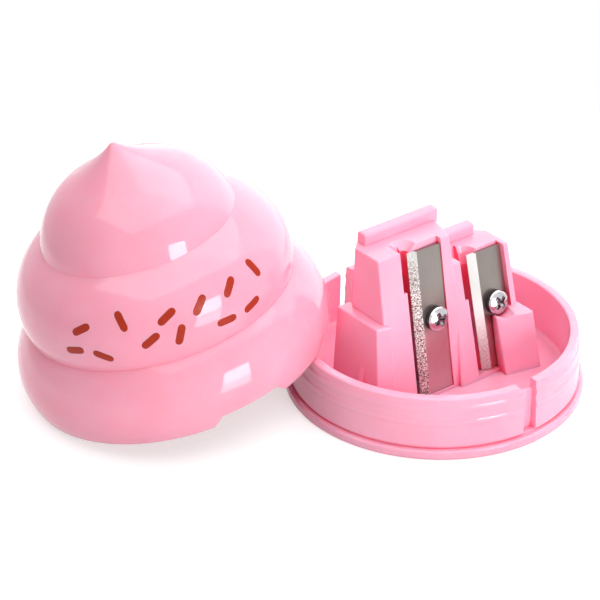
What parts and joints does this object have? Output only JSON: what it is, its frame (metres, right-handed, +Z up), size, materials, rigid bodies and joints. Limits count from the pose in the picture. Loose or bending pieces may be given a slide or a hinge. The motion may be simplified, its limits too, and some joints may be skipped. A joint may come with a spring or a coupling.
{
  "type": "pencil sharpener",
  "caption": "Pencil sharpener: a round shavings tray carries a moulded block with pencil holes and screwed-on steel blades, and a tiered swirl-shaped cover pulls off.",
  "frame": {"origin": "centre of the shavings tray's underside, on the surface it stands on", "axes": "+Z up, the blades face -Y, +X runs from the large pencil hole to the small one"},
  "size_m": [0.0993, 0.0893, 0.0523],
  "materials": {
    "cover_plastic": "high gloss, slightly translucent pink",
    "tray_plastic": "semi-gloss, slightly translucent pink",
    "block_plastic": "semi-gloss, slightly translucent pink",
    "blade_steel": "ground steel with a bright bevel",
    "screw_chrome": "polished"
  },
  "bodies": {
    "base": {"base_tray": "tray_plastic", "sharpener_block": "block_plastic", "large_blade": "blade_steel", "small_blade": "blade_steel", "large_blade_screw": "screw_chrome", "small_blade_screw": "screw_chrome"},
    "cover": {"cover": "cover_plastic"}
  },
  "joints": [
    {"name": "cover_lift", "type": "slide", "parent": "base", "child": "cover", "axis": [0, 0, 1], "range_m": [0, 0.06]}
  ]
}
